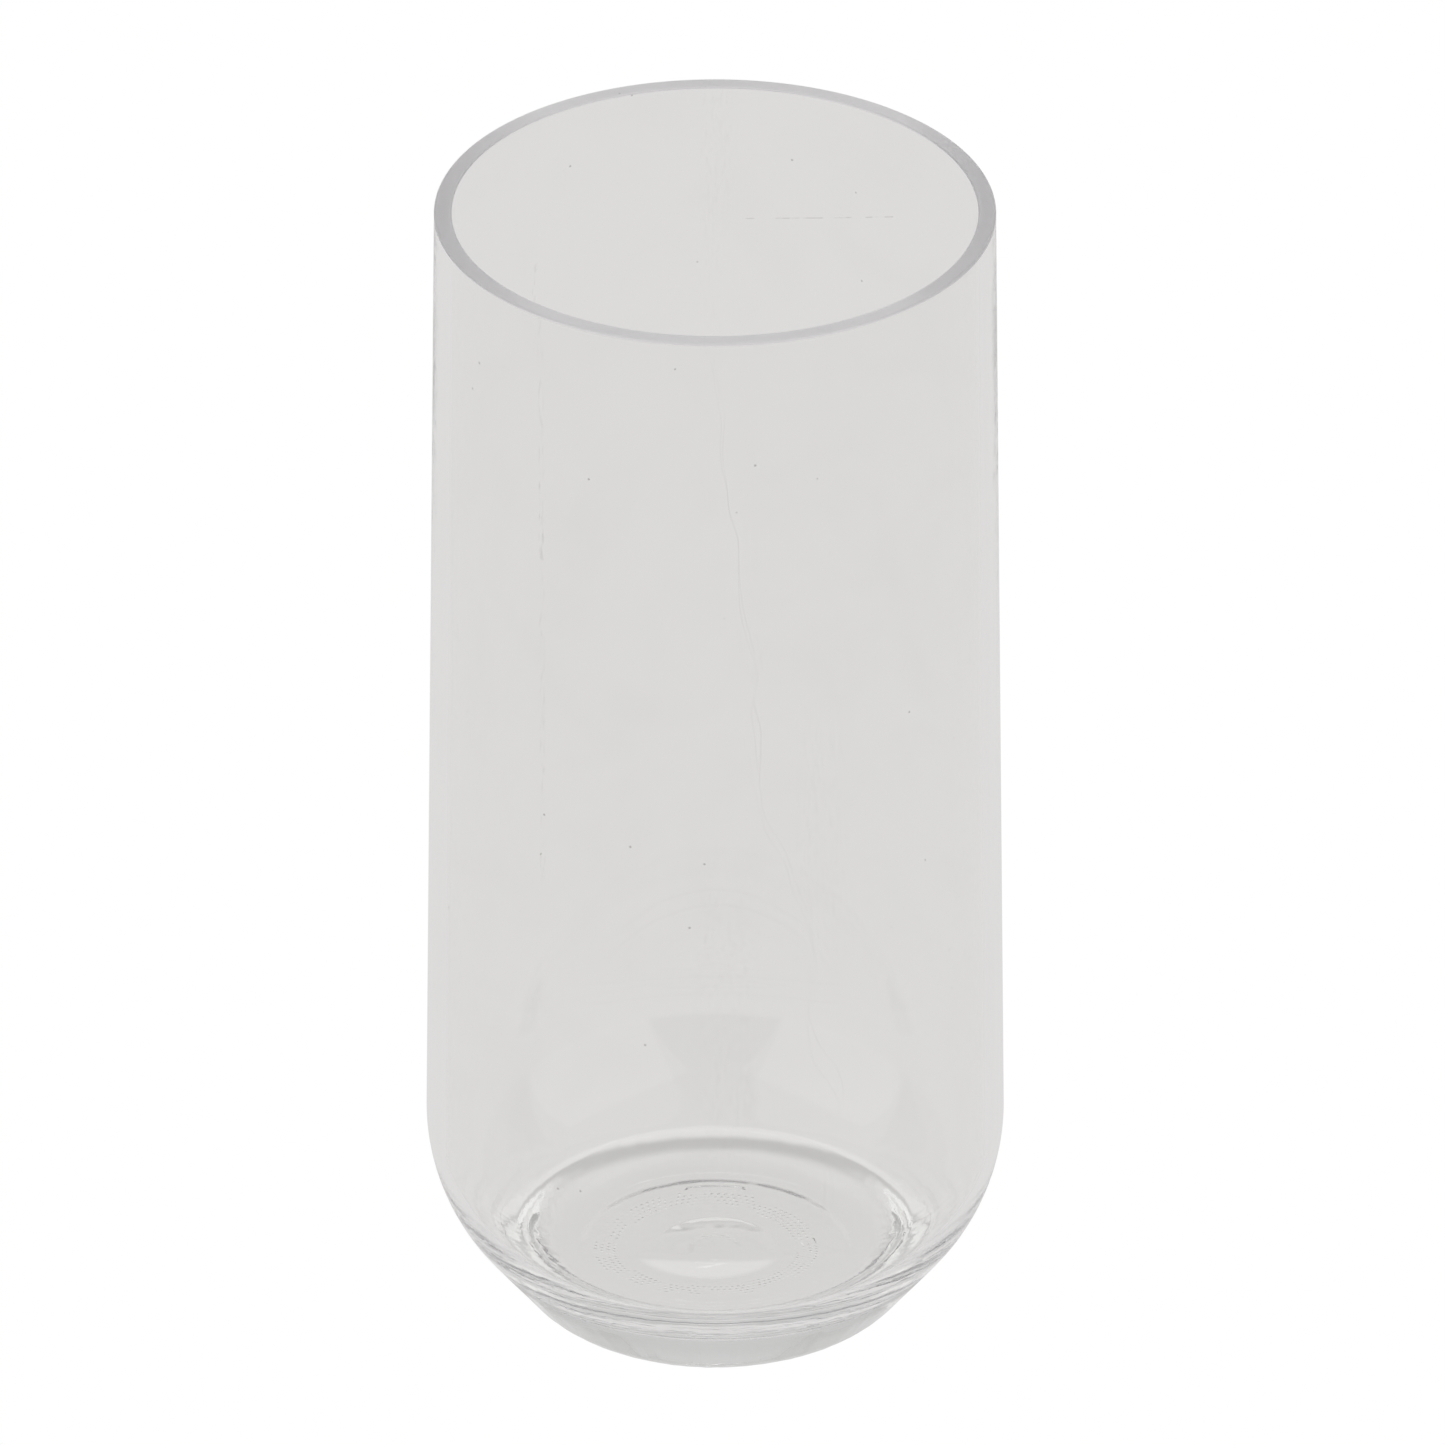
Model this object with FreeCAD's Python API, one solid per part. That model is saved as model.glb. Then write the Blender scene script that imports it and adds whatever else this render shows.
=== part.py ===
"""Clear glass cylinder vase, 250 mm tall: one piece of press-and-blow soda-lime glass.

Millimetres, +Z up. The origin is the centre of the foot, on the face that the vase stands on,
and Z is the axis of the body. The whole piece is one profile turned about Z.
"""
import FreeCAD, Part
import math
import os

# Outside
HEIGHT = 250.0                # foot to ground rim
RIM_RADIUS = 56.3             # outside, just under the rim
WIDEST_RADIUS = 59.0          # outside, where the straight wall ends: the body widens towards the foot
WIDEST_HEIGHT = 43.6          # height of that place
SHOULDER_ROUND = 41.7         # radius of the curve that turns the wall in towards the foot
FOOT_RADIUS = 29.8            # outer edge of the flat ring that the vase stands on
HEEL_ROUND = 13.7             # radius between the sloping side and the foot

# Underside
PUSH_UP_RADIUS = 28.9         # inner edge of the standing ring
PUSH_UP_SLOPE = 2.4           # width of the gentle slope just inside that edge
PUSH_UP_STEP = 0.22           # height of that slope, and of the flat face it leads to
DOME_RADIUS = 13.0            # the small dome in the middle of that face
DOME_RISE = 1.0               # height of the dome above that face

# Inside
RIM_WALL = 3.55               # wall thickness at the rim
LOWER_WALL = 4.0              # wall thickness where the inside starts to curve
INSIDE_CURVE_HEIGHT = 41.0    # height where the inner wall starts to curve in
INSIDE_SHOULDER_ROUND = 29.0  # radius of that curve
INSIDE_CORNER_ROUND = 5.0     # radius between that curve and the floor
BASE_THICKNESS = 15.0         # thickness of the foot, measured to the floor of the inside

# Ground rim
OUTER_EDGE_ROUND = 0.5        # softened outer edge
INNER_EDGE_ROUND = 0.35       # softened inner edge

DOWN = -math.pi / 2.0


def point(radius, height):
    """A point of the profile, in the XZ plane."""
    return FreeCAD.Vector(radius, 0.0, height)


def on_circle(centre, radius, angle):
    """The point of a circle in the XZ plane at an angle above the outward direction."""
    return point(centre.x + radius * math.cos(angle), centre.z + radius * math.sin(angle))


def arc(centre, radius, start, end):
    """An arc of a circle in the XZ plane, from one angle to another."""
    middle = on_circle(centre, radius, (start + end) / 2.0)
    return Part.Arc(on_circle(centre, radius, start), middle, on_circle(centre, radius, end)).toShape()


def line(start, end):
    """A straight edge."""
    return Part.LineSegment(start, end).toShape()


def tangent_angle(upper, upper_radius, lower, lower_radius):
    """Angle of the outward normal of the line that touches two circles from outside."""
    gap = upper - lower
    direction = math.atan2(gap.z, gap.x)
    return direction - math.acos((lower_radius - upper_radius) / math.hypot(gap.x, gap.z))


def wall_lean(upper_radius, upper_height, lower_radius, lower_height):
    """Angle by which a wall leans outwards on its way down."""
    return math.atan2(lower_radius - upper_radius, upper_height - lower_height)


def underside():
    """The dome in the middle, the flat face round it, the slope and the flat standing ring."""
    sphere_radius = (DOME_RADIUS ** 2 + DOME_RISE ** 2) / (2.0 * DOME_RISE)
    centre = point(0.0, PUSH_UP_STEP + DOME_RISE - sphere_radius)
    half_angle = math.asin(DOME_RADIUS / sphere_radius)
    dome_edge = point(DOME_RADIUS, PUSH_UP_STEP)
    slope_top = point(PUSH_UP_RADIUS - PUSH_UP_SLOPE, PUSH_UP_STEP)
    ring_edge = point(PUSH_UP_RADIUS, 0.0)
    return [
        arc(centre, sphere_radius, math.pi / 2.0, math.pi / 2.0 - half_angle),
        line(dome_edge, slope_top),
        line(slope_top, ring_edge),
        line(ring_edge, point(FOOT_RADIUS, 0.0)),
    ]


def outside():
    """Heel, sloping side, shoulder and straight wall, up to the rim's outer edge."""
    lean = wall_lean(RIM_RADIUS, HEIGHT, WIDEST_RADIUS, WIDEST_HEIGHT)
    heel = point(FOOT_RADIUS, HEEL_ROUND)
    shoulder = point(
        WIDEST_RADIUS - SHOULDER_ROUND * math.cos(lean),
        WIDEST_HEIGHT - SHOULDER_ROUND * math.sin(lean),
    )
    slope = tangent_angle(shoulder, SHOULDER_ROUND, heel, HEEL_ROUND)
    wall_foot = on_circle(shoulder, SHOULDER_ROUND, lean)
    wall_head = point(RIM_RADIUS, HEIGHT - OUTER_EDGE_ROUND)
    return [
        arc(heel, HEEL_ROUND, DOWN, slope),
        line(on_circle(heel, HEEL_ROUND, slope), on_circle(shoulder, SHOULDER_ROUND, slope)),
        arc(shoulder, SHOULDER_ROUND, slope, lean),
        line(wall_foot, wall_head),
    ]


def rim():
    """The flat ground rim with its two softened edges."""
    inner_radius = RIM_RADIUS - RIM_WALL
    outer_edge = point(RIM_RADIUS - OUTER_EDGE_ROUND, HEIGHT - OUTER_EDGE_ROUND)
    inner_edge = point(inner_radius + INNER_EDGE_ROUND, HEIGHT - INNER_EDGE_ROUND)
    return [
        arc(outer_edge, OUTER_EDGE_ROUND, 0.0, math.pi / 2.0),
        line(point(outer_edge.x, HEIGHT), point(inner_edge.x, HEIGHT)),
        arc(inner_edge, INNER_EDGE_ROUND, math.pi / 2.0, math.pi),
    ]


def inside():
    """The inner wall, its long curve inwards, the tight corner at its foot and the flat floor."""
    inner_radius = RIM_RADIUS - RIM_WALL
    wall_radius = WIDEST_RADIUS - LOWER_WALL
    lean = wall_lean(inner_radius, HEIGHT, wall_radius, INSIDE_CURVE_HEIGHT)
    shoulder = point(
        wall_radius - INSIDE_SHOULDER_ROUND * math.cos(lean),
        INSIDE_CURVE_HEIGHT - INSIDE_SHOULDER_ROUND * math.sin(lean),
    )
    reach = INSIDE_SHOULDER_ROUND - INSIDE_CORNER_ROUND
    corner_height = BASE_THICKNESS + INSIDE_CORNER_ROUND
    slope = -math.asin((shoulder.z - corner_height) / reach)
    corner = on_circle(shoulder, reach, slope)
    wall_foot = on_circle(shoulder, INSIDE_SHOULDER_ROUND, lean)
    return [
        line(point(inner_radius, HEIGHT - INNER_EDGE_ROUND), wall_foot),
        arc(shoulder, INSIDE_SHOULDER_ROUND, lean, slope),
        arc(corner, INSIDE_CORNER_ROUND, slope, DOWN),
        line(point(corner.x, BASE_THICKNESS), point(0.0, BASE_THICKNESS)),
    ]


def glass_body():
    """The one solid: the closed profile turned all the way round Z."""
    axis = line(point(0.0, BASE_THICKNESS), point(0.0, PUSH_UP_STEP + DOME_RISE))
    edges = underside() + outside() + rim() + inside() + [axis]
    profile = Part.Face(Part.Wire(edges))
    return profile.revolve(FreeCAD.Vector(0, 0, 0), FreeCAD.Vector(0, 0, 1), 360.0)


def main():
    """Write the vase's one STEP file and print what it measures."""
    os.makedirs("parts", exist_ok=True)
    body = glass_body()
    body.exportStep("parts/glass_body.step")
    box = body.optimalBoundingBox()
    print("glass_body valid", body.isValid(), body.ShapeType, "solids", len(body.Solids))
    print("size mm", round(box.XLength, 2), round(box.YLength, 2), round(box.ZLength, 2))
    print("volume cm3", round(body.Volume / 1000.0, 1))


main()
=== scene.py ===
"""Looks of the clear glass cylinder vase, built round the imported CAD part.

Metres, +Z up, in the part's own frame: the origin is the centre of the foot, on the face that
the vase stands on, and Z is the axis of the body.
"""
import logging
import math
from dataclasses import dataclass, field
from enum import Enum

import bpy
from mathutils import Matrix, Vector, noise


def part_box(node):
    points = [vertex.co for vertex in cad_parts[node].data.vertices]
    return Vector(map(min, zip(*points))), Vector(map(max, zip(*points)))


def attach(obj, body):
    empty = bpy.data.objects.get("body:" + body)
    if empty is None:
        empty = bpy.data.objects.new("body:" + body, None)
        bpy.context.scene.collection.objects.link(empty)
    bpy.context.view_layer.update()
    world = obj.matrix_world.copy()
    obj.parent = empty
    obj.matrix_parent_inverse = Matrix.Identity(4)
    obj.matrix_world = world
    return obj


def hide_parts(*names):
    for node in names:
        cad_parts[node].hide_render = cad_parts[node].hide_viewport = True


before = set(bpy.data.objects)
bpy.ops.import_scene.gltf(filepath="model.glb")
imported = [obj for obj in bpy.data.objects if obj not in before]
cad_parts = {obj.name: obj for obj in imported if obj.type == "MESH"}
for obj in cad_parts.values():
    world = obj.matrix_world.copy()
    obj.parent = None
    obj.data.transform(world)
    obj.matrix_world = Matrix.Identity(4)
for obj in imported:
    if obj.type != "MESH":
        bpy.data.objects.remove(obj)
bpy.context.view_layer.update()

MM = 0.001
DOWN = -math.pi / 2.0
UP = math.pi / 2.0
LOG = logging.getLogger("vase")


def linear(hex_colour: str) -> tuple[float, float, float, float]:
    """Turn an sRGB hex colour into linear RGBA.

    Args:
        hex_colour: a colour such as "#E6E4E2".

    Returns:
        Red, green, blue and an alpha of 1.
    """
    channels = [int(hex_colour[i:i + 2], 16) / 255.0 for i in (1, 3, 5)]
    toe = [c / 12.92 if c <= 0.04045 else ((c + 0.055) / 1.055) ** 2.4 for c in channels]
    return (toe[0], toe[1], toe[2], 1.0)


def add_node(tree: bpy.types.NodeTree, kind: str, inputs: dict | None = None, **settings) -> bpy.types.Node:
    """Add a node with its settings and links.

    Args:
        tree: the node tree that the node goes in.
        kind: the node's type, such as "ShaderNodeMath".
        inputs: for an input's name or number, the socket that feeds it or its plain value.
        settings: the node's own properties.

    Returns:
        The new node.
    """
    node = tree.nodes.new(kind)
    for name, value in settings.items():
        setattr(node, name, value)
    for name, value in (inputs or {}).items():
        if isinstance(value, bpy.types.NodeSocket):
            tree.links.new(value, node.inputs[name])
        else:
            node.inputs[name].default_value = value
    return node


def set_ramp(node: bpy.types.Node, stops: list[tuple[float, tuple[float, float, float, float]]]) -> None:
    """Give a Color Ramp node its stops.

    Args:
        node: the Color Ramp node.
        stops: position and colour of each stop, in rising order.
    """
    elements = node.color_ramp.elements
    elements[0].position, elements[0].color = stops[0]
    elements[1].position, elements[1].color = stops[-1]
    for position, colour in stops[1:-1]:
        elements.new(position).color = colour


def grey(level: float) -> tuple[float, float, float, float]:
    """A plain level from 0 to 1 as RGBA."""
    return (level, level, level, 1.0)


def maths(tree: bpy.types.NodeTree, operation: str,
          *values: bpy.types.NodeSocket | float) -> bpy.types.NodeSocket:
    """Add a Math node.

    Args:
        tree: the node tree that it goes in.
        operation: what it does, such as "MULTIPLY".
        values: its sockets or plain numbers, in order.

    Returns:
        Its result.
    """
    return add_node(tree, "ShaderNodeMath", dict(enumerate(values)), operation=operation).outputs["Value"]


def times(tree: bpy.types.NodeTree, *parts: bpy.types.NodeSocket) -> bpy.types.NodeSocket:
    """Multiply several values.

    Args:
        tree: the node tree that the values are in.
        parts: the values.

    Returns:
        Their product.
    """
    product = parts[0]
    for part in parts[1:]:
        product = maths(tree, "MULTIPLY", product, part)
    return product


class Surface(Enum):
    """The surfaces of the vase that were finished in different ways, as material slots."""

    WALL = 0
    RIM = 1


@dataclass(frozen=True)
class ClearGlass:
    """Fire-polished soda-lime glass, drawn and blown in a mould.

    To the eye it is colourless, with a faint warm cast where two walls overlap, and it bends
    what lies behind the thick foot. The ground rim is the same glass, but grinding left it
    rough, so it scatters about half of the light and shows as an even grey band. Up close the
    glass carries what handling and making leave: a few specks, patches of fine upright scuffing,
    faint smears, a hair-thin wandering cord, and one long scratch.
    """

    name: str = "fire_polished_soda_lime_glass"
    ior: float = 1.51
    tint: str = "#FDFDFC"
    mark: str = "#B4B0AF"
    roughness: float = 0.0
    clearness: float = 1.0
    absorption: float = 0.1
    wall_starts: float = 36.0 * MM
    speck_spacing: float = 13.0 * MM
    speck_radius: float = 0.36 * MM
    scuff_patch: float = 16.0 * MM
    scuff_length: float = 170.0 * MM
    scuff_grain: float = 0.8 * MM  # real scuffs are finer; this is as coarse as they need to show
    scuff_strength: float = 0.08
    rub_side: float = -36.5 * MM
    rub_width: float = 1.2 * MM
    rub_middle: float = 145.0 * MM
    rub_half_length: float = 72.0 * MM
    rub_strength: float = 0.22
    rub_heavy: float = 158.0 * MM  # the height where the rub is heaviest
    rub_heavy_half: float = 10.0 * MM
    rub_extra: float = 0.25
    cord_side: float = 12.0 * MM  # where the cord is at cord_height
    cord_height: float = 150.0 * MM
    cord_lean: float = -0.14
    cord_wander: float = 26.0 * MM
    cord_spacing: float = 45.0 * MM
    cord_width: float = 0.3 * MM
    cord_strength: float = 0.11
    smear_size: float = 30.0 * MM
    smear_strength: float = 0.022
    scratch_height: float = 249.5 * MM  # where its tilted plane would cross the axis
    scratch_tilt: float = 0.563
    scratch_middle: float = 20.0 * MM
    scratch_half_length: float = 16.0 * MM
    scratch_width: float = 0.3 * MM
    scratch_strength: float = 0.5
    mid_wall: float = 55.0 * MM
    ripple_size: float = 14.0 * MM
    ripple_depth: float = 0.02 * MM

    def specks(self, tree: bpy.types.NodeTree, place: bpy.types.NodeSocket) -> bpy.types.NodeSocket:
        """Small dark seeds and dust, each a dot where the wall cuts a tiny ball.

        Args:
            tree: the material's node tree.
            place: the position on the piece.

        Returns:
            A socket that is 1 on a speck.
        """
        cells = add_node(tree, "ShaderNodeTexVoronoi", {"Vector": place, "Scale": 1.0 / self.speck_spacing})
        reach = self.speck_radius / self.speck_spacing
        dots = add_node(tree, "ShaderNodeMapRange", {
            "Value": cells.outputs["Distance"],
            "From Min": 0.5 * reach,
            "From Max": reach,
            "To Min": 1.0,
            "To Max": 0.0,
        })
        return dots.outputs["Result"]

    def inner_back(self, tree: bpy.types.NodeTree, place: bpy.types.NodeSocket) -> bpy.types.NodeSocket:
        """Pick out the inner face of the back half of the wall.

        Args:
            tree: the material's node tree.
            place: the position on the piece.

        Returns:
            A socket that is 1 there.
        """
        flat = add_node(tree, "ShaderNodeVectorMath", {0: place, 1: (1.0, 1.0, 0.0)}, operation="MULTIPLY")
        radius = add_node(tree, "ShaderNodeVectorMath", {0: flat.outputs["Vector"]}, operation="LENGTH")
        depth = add_node(tree, "ShaderNodeSeparateXYZ", {"Vector": place}).outputs["Y"]
        return times(
            tree,
            maths(tree, "LESS_THAN", radius.outputs["Value"], self.mid_wall),
            maths(tree, "GREATER_THAN", depth, 0.0),
        )

    def scuffs(self, tree: bpy.types.NodeTree, place: bpy.types.NodeSocket) -> bpy.types.NodeSocket:
        """Tall narrow patches of short upright hair scratches, and one narrow rub down the back.

        Args:
            tree: the material's node tree.
            place: the position on the piece.

        Returns:
            A socket that rises to 1 on a scratch.
        """
        tall = add_node(tree, "ShaderNodeMapping", {
            "Vector": place,
            "Scale": (1.0 / self.scuff_patch, 1.0 / self.scuff_patch, 1.0 / self.scuff_length),
        })
        patches = add_node(tree, "ShaderNodeTexNoise", {"Vector": tall.outputs["Vector"], "Scale": 1.0})
        where = add_node(tree, "ShaderNodeMapRange", {
            "Value": patches.outputs["Fac"],
            "From Min": 0.60,
            "From Max": 0.72,
            "To Max": self.scuff_strength,
        })
        upright = add_node(tree, "ShaderNodeMapping", {
            "Vector": place,
            "Scale": (1.0 / self.scuff_grain, 1.0 / self.scuff_grain, 0.3 / self.scuff_grain),
        })
        hairs = add_node(tree, "ShaderNodeTexNoise", {"Vector": upright.outputs["Vector"], "Scale": 1.0})
        grain = add_node(tree, "ShaderNodeMapRange", {
            "Value": hairs.outputs["Fac"],
            "From Min": 0.50,
            "From Max": 0.70,
        })
        axes = add_node(tree, "ShaderNodeSeparateXYZ", {"Vector": place})
        heavy = maths(tree, "COMPARE", axes.outputs["Z"], self.rub_heavy, self.rub_heavy_half)
        rub = times(
            tree,
            maths(tree, "COMPARE", axes.outputs["X"], self.rub_side, 0.5 * self.rub_width),
            maths(tree, "COMPARE", axes.outputs["Z"], self.rub_middle, self.rub_half_length),
            self.inner_back(tree, place),
            maths(tree, "MULTIPLY_ADD", heavy, self.rub_extra, self.rub_strength),
        )
        return times(tree, maths(tree, "MAXIMUM", where.outputs["Result"], rub), grain.outputs["Result"])

    def cord(self, tree: bpy.types.NodeTree, place: bpy.types.NodeSocket) -> bpy.types.NodeSocket:
        """One thin wandering line down the front wall, where the melt was not quite even.

        Args:
            tree: the material's node tree.
            place: the position on the piece.

        Returns:
            A socket that rises to 1 on the cord.
        """
        axes = add_node(tree, "ShaderNodeSeparateXYZ", {"Vector": place})
        melt = add_node(tree, "ShaderNodeTexNoise", {"Vector": place, "Scale": 1.0 / self.cord_spacing})
        strayed = maths(tree, "MULTIPLY_ADD", melt.outputs["Fac"], self.cord_wander, axes.outputs["X"])
        leaning = maths(tree, "MULTIPLY_ADD", axes.outputs["Z"], -self.cord_lean, strayed)
        middle = self.cord_side + 0.5 * self.cord_wander - self.cord_lean * self.cord_height
        broken = add_node(tree, "ShaderNodeTexNoise", {"Vector": place, "Scale": 1.0 / self.scuff_patch})
        shown = add_node(tree, "ShaderNodeMapRange", {
            "Value": broken.outputs["Fac"],
            "From Min": 0.34,
            "From Max": 0.60,
            "To Max": self.cord_strength,
        })
        return times(
            tree,
            maths(tree, "COMPARE", leaning, middle, 0.5 * self.cord_width),
            maths(tree, "LESS_THAN", axes.outputs["Y"], 0.0),
            shown.outputs["Result"],
        )

    def smears(self, tree: bpy.types.NodeTree, place: bpy.types.NodeSocket) -> bpy.types.NodeSocket:
        """Very faint cloudy smears that wiping leaves.

        Args:
            tree: the material's node tree.
            place: the position on the piece.

        Returns:
            A socket that is above 0 on a smear.
        """
        clouds = add_node(tree, "ShaderNodeTexNoise", {
            "Vector": place,
            "Scale": 1.0 / self.smear_size,
            "Detail": 4.0,
            "Distortion": 1.5,
        })
        shown = add_node(tree, "ShaderNodeMapRange", {
            "Value": clouds.outputs["Fac"],
            "From Min": 0.48,
            "From Max": 0.66,
            "To Max": self.smear_strength,
        })
        return shown.outputs["Result"]

    def scratch(self, tree: bpy.types.NodeTree, place: bpy.types.NodeSocket) -> bpy.types.NodeSocket:
        """One long scratch inside the back wall, broken along its length.

        Args:
            tree: the material's node tree.
            place: the position on the piece.

        Returns:
            A socket that is 1 on the scratch.
        """
        axes = add_node(tree, "ShaderNodeSeparateXYZ", {"Vector": place})
        level = maths(tree, "MULTIPLY_ADD", axes.outputs["Y"], self.scratch_tilt, axes.outputs["Z"])
        breaks = add_node(tree, "ShaderNodeTexNoise", {"Vector": place, "Scale": 0.3 / MM})
        kept = add_node(tree, "ShaderNodeMapRange", {
            "Value": breaks.outputs["Fac"],
            "From Min": 0.45,
            "From Max": 0.55,
            "To Max": self.scratch_strength,
        })
        return times(
            tree,
            maths(tree, "COMPARE", level, self.scratch_height, 0.5 * self.scratch_width),
            maths(tree, "COMPARE", axes.outputs["X"], self.scratch_middle, self.scratch_half_length),
            self.inner_back(tree, place),
            kept.outputs["Result"],
        )

    def make(self) -> bpy.types.Material:
        """Build the material.

        Returns:
            The finished material.
        """
        material = bpy.data.materials.new(self.name)
        material.use_nodes = True
        tree = material.node_tree
        tree.nodes.clear()
        place = add_node(tree, "ShaderNodeTexCoord").outputs["Object"]
        marks = self.specks(tree, place)
        for pattern in (self.scuffs, self.cord, self.smears, self.scratch):
            marks = maths(tree, "MAXIMUM", marks, pattern(tree, place))
        height = add_node(tree, "ShaderNodeSeparateXYZ", {"Vector": place}).outputs["Z"]
        wall = add_node(tree, "ShaderNodeMapRange", {
            "Value": height,
            "From Min": self.wall_starts,
            "From Max": 1.5 * self.wall_starts,
        })
        colour = add_node(tree, "ShaderNodeMix", {
            "Factor": times(tree, marks, wall.outputs["Result"]),
            "A": linear(self.tint),
            "B": linear(self.mark),
        }, data_type="RGBA")
        ripples = add_node(tree, "ShaderNodeTexNoise", {"Vector": place, "Scale": 1.0 / self.ripple_size})
        bump = add_node(tree, "ShaderNodeBump", {
            "Height": ripples.outputs["Fac"],
            "Distance": self.ripple_depth,
        })
        glass = add_node(tree, "ShaderNodeBsdfPrincipled", {
            "Base Color": colour.outputs["Result"],
            "Normal": bump.outputs["Normal"],
            "IOR": self.ior,
            "Roughness": self.roughness,
            "Transmission Weight": self.clearness,
        })
        dim = add_node(tree, "ShaderNodeVolumeAbsorption", {
            "Color": (0.0, 0.0, 0.0, 1.0),
            "Density": self.absorption,
        })
        add_node(tree, "ShaderNodeOutputMaterial", {
            "Surface": glass.outputs["BSDF"],
            "Volume": dim.outputs["Volume"],
        })
        return material


@dataclass
class Profile:
    """Half a section of a turned piece: radius and height of each point, in order."""

    points: list[tuple[float, float]] = field(default_factory=list)

    def line(self, radius: float, height: float, steps: int = 1) -> None:
        """Go straight to a point, or start there.

        Args:
            radius: distance of the point from the axis.
            height: height of the point.
            steps: how many equal pieces the line is made of.
        """
        if not self.points:
            self.points.append((radius, height))
            return
        start_radius, start_height = self.points[-1]
        for i in range(1, steps + 1):
            share = i / steps
            self.points.append((
                start_radius + (radius - start_radius) * share,
                start_height + (height - start_height) * share,
            ))

    def arc(self, centre: tuple[float, float], radius: float, start: float, end: float, steps: int) -> None:
        """Go round part of a circle, starting with a line to its first point if it isn't there yet.

        Args:
            centre: radius and height of the circle's centre.
            radius: the circle's own radius.
            start: angle of the first point above the outward direction.
            end: angle of the last point.
            steps: how many pieces the arc is made of.
        """
        for i in range(steps + 1):
            angle = start + (end - start) * i / steps
            spot = (centre[0] + radius * math.cos(angle), centre[1] + radius * math.sin(angle))
            if not self.points or math.dist(spot, self.points[-1]) > 0.001 * MM:
                self.points.append(spot)


@dataclass(frozen=True)
class Lumps:
    """How uneven pressed glass is: size of the lumps along the surface and their full height."""

    grain: float
    depth: float


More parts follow.
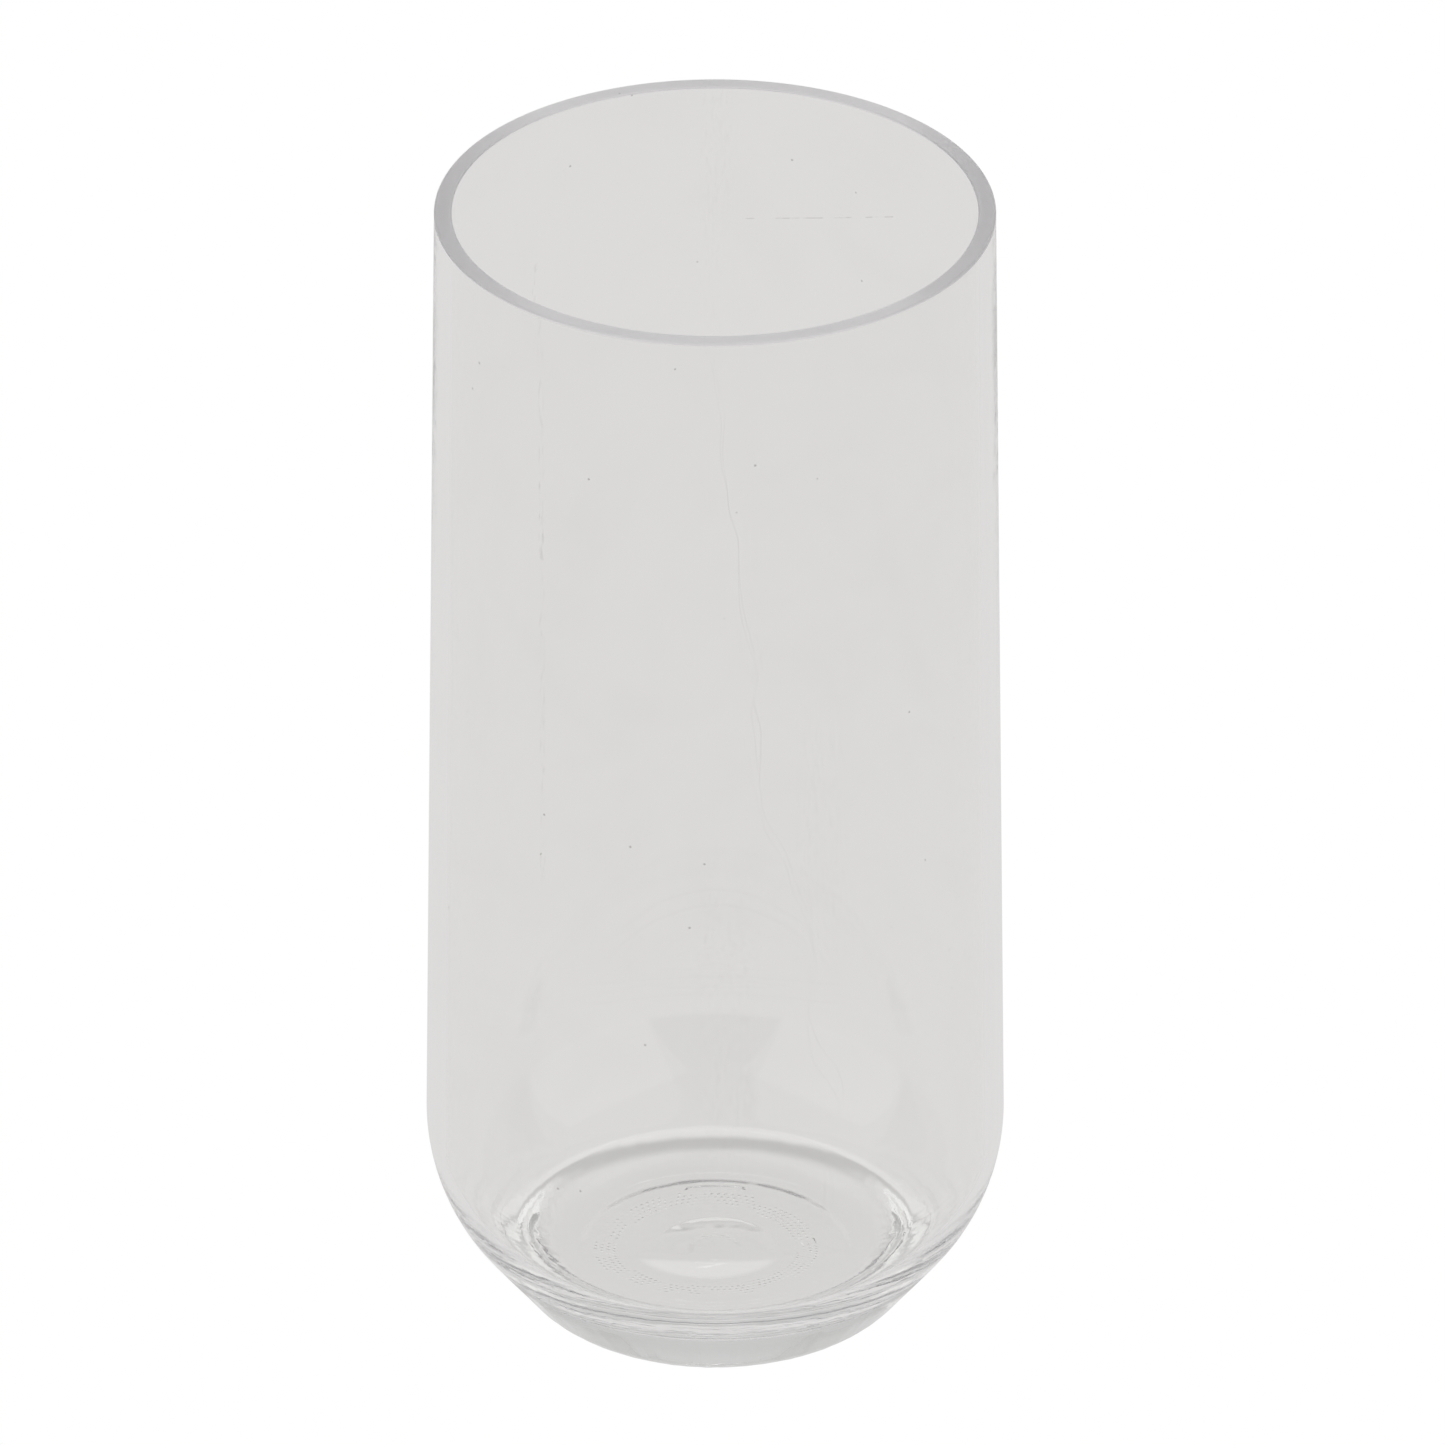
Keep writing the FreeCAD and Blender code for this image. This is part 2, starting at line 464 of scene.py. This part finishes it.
@dataclass
class GlassBody:
    """The one piece of glass, with its thick foot, pushed-up underside and ground rim."""

    height: float
    widest_radius: float
    rim_radius: float = 56.3 * MM
    widest_height: float = 43.6 * MM
    shoulder_round: float = 41.7 * MM
    foot_radius: float = 29.8 * MM
    heel_round: float = 13.7 * MM
    push_up_radius: float = 28.9 * MM
    push_up_slope: float = 2.4 * MM
    push_up_step: float = 0.22 * MM
    dome_radius: float = 13.0 * MM
    dome_rise: float = 1.0 * MM
    centre_mark_radius: float = 5.0 * MM
    centre_mark_depth: float = 0.12 * MM
    stipple_middle: float = -2.0 * MM
    stipple_inner: float = 17.7 * MM
    stipple_outer: float = 22.8 * MM
    stipple_pitch: float = 1.3 * MM
    stipple_depth: float = 0.3 * MM
    stipple_wear: float = 4.0 * MM
    bar_radius: float = 24.4 * MM
    bar_width: float = 2.0 * MM
    bar_half_length: float = 6.0 * MM
    bar_depth: float = 0.3 * MM
    rim_wall: float = 3.55 * MM
    lower_wall: float = 4.0 * MM
    inside_curve_height: float = 41.0 * MM
    inside_shoulder_round: float = 29.0 * MM
    inside_corner_round: float = 5.0 * MM
    base_thickness: float = 15.0 * MM
    outer_edge_round: float = 0.5 * MM
    inner_edge_round: float = 0.35 * MM
    underside_lumps: Lumps = Lumps(5.0 * MM, 0.18 * MM)
    heel_lumps: Lumps = Lumps(6.0 * MM, 0.08 * MM)
    heel_pits: Lumps = Lumps(1.8 * MM, 0.14 * MM)
    floor_lumps: Lumps = Lumps(16.0 * MM, 0.03 * MM)
    heel_height: float = 24.0 * MM
    pitted_height: float = 10.0 * MM
    loops_per_dot: int = 4
    segments: int = 384
    glass: ClearGlass = ClearGlass()
    ground_glass: ClearGlass = ClearGlass(
        name="ground_soda_lime_glass", tint="#FCFAFC", roughness=0.3, clearness=0.55
    )

    @property
    def flat_edge(self) -> float:
        """Radius where the underside's flat face ends and the slope to the ring begins."""
        return self.push_up_radius - self.push_up_slope

    @property
    def flat_loops(self) -> int:
        """Number of loops across the flat face, a few to each row of stipple."""
        return round((self.flat_edge - self.dome_radius) / (self.stipple_pitch / self.loops_per_dot))

    def underside(self, profile: Profile) -> None:
        """Draw the dome, the flat round it, the slope and the standing ring, from the axis outwards."""
        sphere = (self.dome_radius ** 2 + self.dome_rise ** 2) / (2.0 * self.dome_rise)
        centre = (0.0, self.push_up_step + self.dome_rise - sphere)
        profile.arc(centre, sphere, UP, UP - math.asin(self.dome_radius / sphere), 20)
        profile.line(self.flat_edge, self.push_up_step, self.flat_loops)
        steps = 10
        for i in range(1, steps + 1):
            share = i / steps
            fall = 3.0 * share ** 2 - 2.0 * share ** 3
            profile.line(self.flat_edge + self.push_up_slope * share, self.push_up_step * (1.0 - fall))
        profile.line(self.foot_radius, 0.0, 2)

    def outside(self, profile: Profile) -> None:
        """Draw the heel, the sloping side, the shoulder and the straight wall, upwards."""
        lean = math.atan2(self.widest_radius - self.rim_radius, self.height - self.widest_height)
        heel = (self.foot_radius, self.heel_round)
        shoulder = (
            self.widest_radius - self.shoulder_round * math.cos(lean),
            self.widest_height - self.shoulder_round * math.sin(lean),
        )
        gap = (shoulder[0] - heel[0], shoulder[1] - heel[1])
        turn = math.acos((self.heel_round - self.shoulder_round) / math.hypot(gap[0], gap[1]))
        slope = math.atan2(gap[1], gap[0]) - turn
        profile.arc(heel, self.heel_round, DOWN, slope, 24)
        profile.arc(shoulder, self.shoulder_round, slope, lean, 32)
        profile.line(self.rim_radius, self.height - self.outer_edge_round - self.guard, 12)

    @property
    def guard(self) -> float:
        """Distance from a rounded edge to the loops that keep the faces beside it true."""
        return 0.05 * MM

    def rim(self, profile: Profile) -> None:
        """Draw the flat ground rim with its two softened edges, inwards."""
        inner_radius = self.rim_radius - self.rim_wall
        outer = (self.rim_radius - self.outer_edge_round, self.height - self.outer_edge_round)
        inner = (inner_radius + self.inner_edge_round, self.height - self.inner_edge_round)
        profile.arc(outer, self.outer_edge_round, 0.0, UP, 6)
        profile.line(outer[0] - self.guard, self.height)
        profile.line(inner[0] + self.guard, self.height)
        profile.arc(inner, self.inner_edge_round, UP, math.pi, 5)
        profile.line(inner_radius, inner[1] - self.guard)

    def inside(self, profile: Profile) -> None:
        """Draw the inner wall, its long curve, the tight corner and the flat floor, to the axis."""
        inner_radius = self.rim_radius - self.rim_wall
        wall_radius = self.widest_radius - self.lower_wall
        fall = self.height - self.inside_curve_height
        lean = math.atan2(wall_radius - inner_radius, fall)
        shoulder = (
            wall_radius - self.inside_shoulder_round * math.cos(lean),
            self.inside_curve_height - self.inside_shoulder_round * math.sin(lean),
        )
        reach = self.inside_shoulder_round - self.inside_corner_round
        corner_height = self.base_thickness + self.inside_corner_round
        slope = -math.asin((shoulder[1] - corner_height) / reach)
        corner = (shoulder[0] + reach * math.cos(slope), corner_height)
        profile.line(wall_radius, self.inside_curve_height, 12)
        profile.arc(shoulder, self.inside_shoulder_round, lean, slope, 32)
        profile.arc(corner, self.inside_corner_round, slope, DOWN, 16)
        profile.line(corner[0] - self.guard, self.base_thickness)
        profile.line(0.0, self.base_thickness, 12)

    def section(self) -> Profile:
        """The whole half section, from the middle of the underside to the middle of the floor."""
        profile = Profile()
        self.underside(profile)
        self.outside(profile)
        self.rim(profile)
        self.inside(profile)
        return profile

    def turn(self) -> bpy.types.Object:
        """Draw the half section as a chain of edges and spin it round the axis.

        Returns:
            The closed shell.
        """
        points = self.section().points
        bpy.ops.object.select_all(action="DESELECT")
        bpy.ops.mesh.primitive_plane_add(size=MM, location=(points[0][0], 0.0, points[0][1]))
        body = bpy.context.object
        body.name = "vase_glass"
        bpy.ops.object.transform_apply(location=True, rotation=True, scale=True)
        bpy.ops.object.mode_set(mode="EDIT")
        bpy.ops.mesh.select_all(action="SELECT")
        bpy.ops.mesh.merge(type="CENTER")
        for here, there in zip(points, points[1:]):
            step = (there[0] - here[0], 0.0, there[1] - here[1])
            bpy.ops.mesh.extrude_vertices_move(TRANSFORM_OT_translate={"value": step})
        bpy.ops.mesh.select_all(action="SELECT")
        bpy.ops.mesh.spin(
            steps=self.segments, angle=2.0 * math.pi, center=(0.0, 0.0, 0.0), axis=(0.0, 0.0, 1.0)
        )
        bpy.ops.mesh.select_all(action="SELECT")
        bpy.ops.mesh.remove_doubles(threshold=0.002 * MM)
        bpy.ops.mesh.normals_make_consistent(inside=False)
        bpy.ops.mesh.faces_shade_smooth()
        bpy.ops.object.mode_set(mode="OBJECT")
        return body

    def press(self, body: bpy.types.Object, chosen: list[int], step: float) -> None:
        """Push some vertices up or down.

        Args:
            body: the glass.
            chosen: numbers of the vertices.
            step: how far up they go.
        """
        bpy.ops.object.mode_set(mode="EDIT")
        bpy.ops.mesh.select_mode(type="VERT")
        bpy.ops.mesh.select_all(action="DESELECT")
        bpy.ops.object.mode_set(mode="OBJECT")
        for number in chosen:
            body.data.vertices[number].select = True
        bpy.ops.object.mode_set(mode="EDIT")
        bpy.ops.transform.translate(value=(0.0, 0.0, step))
        bpy.ops.object.mode_set(mode="OBJECT")

    def relief(self, body: bpy.types.Object) -> None:
        """Press the stippled ring, the plain bar and the centre mark into the underside.

        Args:
            body: the glass.
        """
        spacing = (self.flat_edge - self.dome_radius) / self.flat_loops
        every = self.loops_per_dot
        dots, bar, mark = [], [], []
        for vertex in body.data.vertices:
            x, y, z = vertex.co
            radius = math.hypot(x, y)
            if z > self.push_up_step + self.dome_rise + 0.1 * MM or radius > self.flat_edge:
                continue
            ring = round((radius - self.dome_radius) / spacing)
            turn = round(math.atan2(y, x) / (2.0 * math.pi) * self.segments)
            from_middle = math.hypot(x - self.stipple_middle, y)
            if self.stipple_inner < from_middle < self.stipple_outer and ring % every == 0:
                if turn % every == (0 if ring % (2 * every) == 0 else every // 2):
                    dots.append(vertex.index)
            if abs(radius - self.bar_radius) < self.bar_width / 2.0 and y > 0.0:
                if abs(x) < self.bar_half_length:
                    bar.append(vertex.index)
            if radius < self.centre_mark_radius:
                mark.append(vertex.index)
        worn = {}
        for number in dots:
            patch = noise.noise(body.data.vertices[number].co / self.stipple_wear)
            worn[number] = max(0.2, min(1.0, 0.6 + 1.2 * patch))
        self.swell(body, "stipple", worn, Lumps(0.0, -2.0 * self.stipple_depth))
        self.press(body, bar, self.bar_depth)
        self.press(body, mark, self.centre_mark_depth)

    def swell(self, body: bpy.types.Object, name: str, weights: dict[int, float], lumps: Lumps) -> None:
        """Raise part of the surface, evenly or as unevenly as pressed glass is.

        Args:
            body: the glass.
            name: what the raised part is called.
            weights: how strongly each vertex takes part.
            lumps: how uneven it gets. With a grain of 0 it all moves by half the depth.
        """
        group = body.vertex_groups.new(name=name)
        for number, weight in weights.items():
            group.add([number], weight, "REPLACE")
        uneven = body.modifiers.new(name, "DISPLACE")
        if lumps.grain > 0.0:
            uneven.texture = bpy.data.textures.new(name, "CLOUDS")
            uneven.texture.noise_scale = lumps.grain
            uneven.texture.noise_depth = 1
        uneven.texture_coords = "LOCAL"
        uneven.vertex_group = name
        uneven.strength = lumps.depth
        bpy.ops.object.modifier_apply(modifier=uneven.name)

    def unevenness(self, body: bpy.types.Object) -> None:
        """Make the underside, the heel and the inner floor uneven by small amounts.

        Args:
            body: the glass.
        """
        under, heel, pits, floor = {}, {}, {}, {}
        for vertex in body.data.vertices:
            radius = math.hypot(vertex.co.x, vertex.co.y)
            height = vertex.co.z
            if height < self.push_up_step + self.dome_rise + 0.2 * MM and radius < self.push_up_radius:
                under[vertex.index] = min(1.0, (self.push_up_radius - radius) / self.push_up_slope)
            elif height < self.heel_height and radius > self.foot_radius and vertex.normal.z < 0.1:
                below = self.heel_height - height
                heel[vertex.index] = min(1.0, height / (3.0 * MM), below / (6.0 * MM))
                below = self.pitted_height - height
                pits[vertex.index] = max(0.0, min(1.0, height / (1.5 * MM), below / (4.0 * MM)))
            elif abs(height - self.base_thickness) < 4.0 * MM and vertex.normal.z > 0.5:
                floor[vertex.index] = 1.0
        self.swell(body, "uneven_underside", under, self.underside_lumps)
        self.swell(body, "uneven_heel", heel, self.heel_lumps)
        self.swell(body, "pitted_heel", pits, self.heel_pits)
        self.swell(body, "uneven_floor", floor, self.floor_lumps)

    def assign(self, body: bpy.types.Object) -> None:
        """Give the rim's faces their own finish.

        Args:
            body: the glass.
        """
        lowest = self.height - self.outer_edge_round
        for face in body.data.polygons:
            if face.center.z > lowest:
                face.material_index = Surface.RIM.value

    def build(self) -> bpy.types.Object:
        """Model the glass and dress it.

        Returns:
            The finished piece.
        """
        body = self.turn()
        self.relief(body)
        self.unevenness(body)
        body.data.materials.append(self.glass.make())
        body.data.materials.append(self.ground_glass.make())
        self.assign(body)
        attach(body, "root")
        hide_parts("glass_body")
        return body


@dataclass
class Studio:
    """Pale floor, soft light all round, two large side lights, a small one behind, and the camera."""

    floor_colour: str = "#DEDDDD"
    floor_size: float = 12.0
    contact_reach: float = 0.1
    crescent_middle: tuple[float, float, float] = (-1.5 * MM, 2.5 * MM, 0.0)
    crescent_radius: float = 10.0 * MM
    crescent_width: float = 11.0 * MM
    crescent_gain: float = 0.14
    side_place: tuple[float, float, float] = (1.43, -0.9, 0.9)
    side_size: tuple[float, float] = (2.4, 2.0)
    side_radiance: float = 0.5
    back_place: tuple[float, float, float] = (0.0, 1.5, 1.65)
    back_size: tuple[float, float] = (0.5, 0.2)
    back_radiance: float = 2.1
    lamps_face: tuple[float, float, float] = (0.0, 0.0, 0.12)
    aim: tuple[float, float, float] = (0.0015, 0.0, 0.1322)
    distance: float = 4.852
    elevation: float = math.radians(29.4)
    lens: float = 596.5
    path_length: int = 128

    def shadow_stops(self) -> list[tuple[float, tuple[float, float, float, float]]]:
        """Light left on the floor round the foot: position is radius over contact_reach."""
        return [
            (0.00, grey(0.94)),
            (0.32, grey(0.94)),
            (0.39, grey(1.00)),
            (0.42, grey(0.72)),
            (0.43, grey(0.72)),
            (0.455, grey(1.10)),
            (0.48, grey(1.10)),
            (0.52, grey(1.0)),
            (1.00, grey(1.0)),
        ]

    def gathered_light(self, tree: bpy.types.NodeTree, place: bpy.types.NodeSocket) -> bpy.types.NodeSocket:
        """The pale crescent of light that the domed underside gathers on the floor.

        Args:
            tree: the floor material's node tree.
            place: the position on the floor.

        Returns:
            A socket that is 1, and more than 1 on the crescent.
        """
        distance = add_node(tree, "ShaderNodeVectorMath", {
            0: place,
            1: self.crescent_middle,
        }, operation="DISTANCE")
        off = maths(tree, "SUBTRACT", distance.outputs["Value"], self.crescent_radius)
        band = add_node(tree, "ShaderNodeMapRange", {
            "Value": maths(tree, "ABSOLUTE", off),
            "From Min": 0.5 * self.crescent_width,
            "From Max": 0.35 * self.crescent_width,
        })
        axes = add_node(tree, "ShaderNodeSeparateXYZ", {"Vector": place})
        near_side = add_node(tree, "ShaderNodeMapRange", {
            "Value": axes.outputs["Y"],
            "From Min": -2.0 * MM,
            "From Max": -4.0 * MM,
            "To Max": self.crescent_gain,
        })
        return maths(tree, "MULTIPLY_ADD", band.outputs["Result"], near_side.outputs["Result"], 1.0)

    def floor(self) -> bpy.types.Object:
        """Lay the floor: white to the camera, pale and softly shaded under the foot to the glass.

        Returns:
            The floor.
        """
        bpy.ops.object.select_all(action="DESELECT")
        bpy.ops.mesh.primitive_plane_add(size=self.floor_size, location=(0.0, 0.0, -0.1 * MM))
        floor = bpy.context.object
        floor.name = "studio_floor"
        material = bpy.data.materials.new("matt_white_paper")
        material.use_nodes = True
        tree = material.node_tree
        tree.nodes.clear()
        place = add_node(tree, "ShaderNodeTexCoord")
        radius = add_node(tree, "ShaderNodeVectorMath", {0: place.outputs["Object"]}, operation="LENGTH")
        share = maths(tree, "MULTIPLY", radius.outputs["Value"], 1.0 / self.contact_reach)
        # Painted shadow round the foot, with painted bright rings beside it, set in the floor's glow that
        # the glass sees.
        shadow = add_node(tree, "ShaderNodeValToRGB", {"Fac": share})
        shadow.color_ramp.interpolation = "EASE"
        set_ramp(shadow, self.shadow_stops())
        paper = add_node(tree, "ShaderNodeMix", {
            "Factor": 1.0,
            "A": shadow.outputs["Color"],
            "B": linear(self.floor_colour),
        }, data_type="RGBA", blend_type="MULTIPLY")
        path = add_node(tree, "ShaderNodeLightPath")
        seen = add_node(tree, "ShaderNodeMix", {
            "Factor": path.outputs["Is Camera Ray"],
            "A": paper.outputs["Result"],
            "B": grey(1.0),
        }, data_type="RGBA")
        glow = add_node(tree, "ShaderNodeEmission", {
            "Color": seen.outputs["Result"],
            # Painted light: the crescent under the dome is set in the floor's glow, not gathered by the
            # glass.
            "Strength": self.gathered_light(tree, place.outputs["Object"]),
        })
        under = add_node(tree, "ShaderNodeBsdfTransparent")
        side = add_node(tree, "ShaderNodeNewGeometry")
        both = add_node(tree, "ShaderNodeMixShader", {
            "Fac": side.outputs["Backfacing"],
            1: glow.outputs["Emission"],
            2: under.outputs["BSDF"],
        })
        add_node(tree, "ShaderNodeOutputMaterial", {"Surface": both.outputs["Shader"]})
        floor.data.materials.append(material)
        return floor

    def surround(self) -> None:
        """Light the room: dimmer on the camera's side, brighter behind and above."""
        world = bpy.data.worlds.new("studio_room")
        bpy.context.scene.world = world
        world.use_nodes = True
        tree = world.node_tree
        tree.nodes.clear()
        way = add_node(tree, "ShaderNodeTexCoord")
        towards = add_node(tree, "ShaderNodeVectorMath", {
            0: way.outputs["Generated"],
            1: (0.0, 0.8, 0.6),
        }, operation="DOT_PRODUCT")
        share = maths(tree, "MULTIPLY_ADD", towards.outputs["Value"], 0.5, 0.5)
        room = add_node(tree, "ShaderNodeValToRGB", {"Fac": share})
        set_ramp(room, [
            (0.00, grey(0.26)),
            (0.35, grey(0.29)),
            (0.65, grey(0.50)),
            (1.00, grey(0.62)),
        ])
        path = add_node(tree, "ShaderNodeLightPath")
        seen = add_node(tree, "ShaderNodeMix", {
            "Factor": path.outputs["Is Camera Ray"],
            "A": room.outputs["Color"],
            "B": grey(1.0),
        }, data_type="RGBA")
        sky = add_node(tree, "ShaderNodeBackground", {"Color": seen.outputs["Result"]})
        add_node(tree, "ShaderNodeOutputWorld", {"Surface": sky.outputs["Background"]})

    def lamp(self, name: str, place: tuple[float, float, float], size: tuple[float, float],
             radiance: float) -> bpy.types.Object:
        """Hang a soft light that faces the vase.

        Args:
            name: the light's name.
            place: where its middle is.
            size: its width and height.
            radiance: how bright its face is, where 1 is white.

        Returns:
            The light.
        """
        data = bpy.data.lights.new(name, "AREA")
        data.shape = "RECTANGLE"
        data.size, data.size_y = size
        data.energy = radiance * math.pi * size[0] * size[1]
        light = bpy.data.objects.new(name, data)
        bpy.context.scene.collection.objects.link(light)
        light.location = place
        towards = Vector(self.lamps_face) - Vector(place)
        light.rotation_euler = towards.to_track_quat("-Z", "Y").to_euler()
        light.visible_camera = False
        return light

    def lamps(self) -> None:
        """Hang the two side lights and the one behind."""
        across, along, up = self.side_place
        self.lamp("left_softbox", (-across, along, up), self.side_size, self.side_radiance)
        self.lamp("right_softbox", (across, along, up), self.side_size, self.side_radiance)
        self.lamp("back_softbox", self.back_place, self.back_size, self.back_radiance)

    def camera(self) -> bpy.types.Object:
        """Place the camera far off, looking down at the vase through a long lens.

        Returns:
            The camera.
        """
        data = bpy.data.cameras.new("studio_camera")
        data.sensor_width = 36.0
        data.lens = self.lens
        data.clip_end = 100.0
        camera = bpy.data.objects.new("studio_camera", data)
        bpy.context.scene.collection.objects.link(camera)
        back = Vector((0.0, -math.cos(self.elevation), math.sin(self.elevation)))
        camera.location = Vector(self.aim) + back * self.distance
        camera.rotation_euler = (math.pi / 2.0 - self.elevation, 0.0, 0.0)
        bpy.context.scene.camera = camera
        return camera

    def light_paths(self) -> None:
        """Let light travel as far as it does in clear glass: up the wall and out of the rim."""
        scene = bpy.context.scene
        scene.cycles.max_bounces = self.path_length
        scene.cycles.transmission_bounces = self.path_length
        scene.cycles.glossy_bounces = self.path_length
        scene.view_settings.view_transform = "Standard"

    def build(self) -> None:
        """Set up the whole studio."""
        self.floor()
        self.surround()
        self.lamps()
        self.camera()
        self.light_paths()


def main() -> None:
    """Build the vase and the studio, in order."""
    logging.basicConfig(level=logging.INFO, format="%(message)s")
    low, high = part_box("glass_body")
    body = GlassBody(height=high.z - low.z, widest_radius=59.0 * MM).build()
    LOG.info("%s: %d faces", body.name, len(body.data.polygons))
    Studio().build()
    LOG.info("studio ready")


if __name__ == "__main__":
    main()
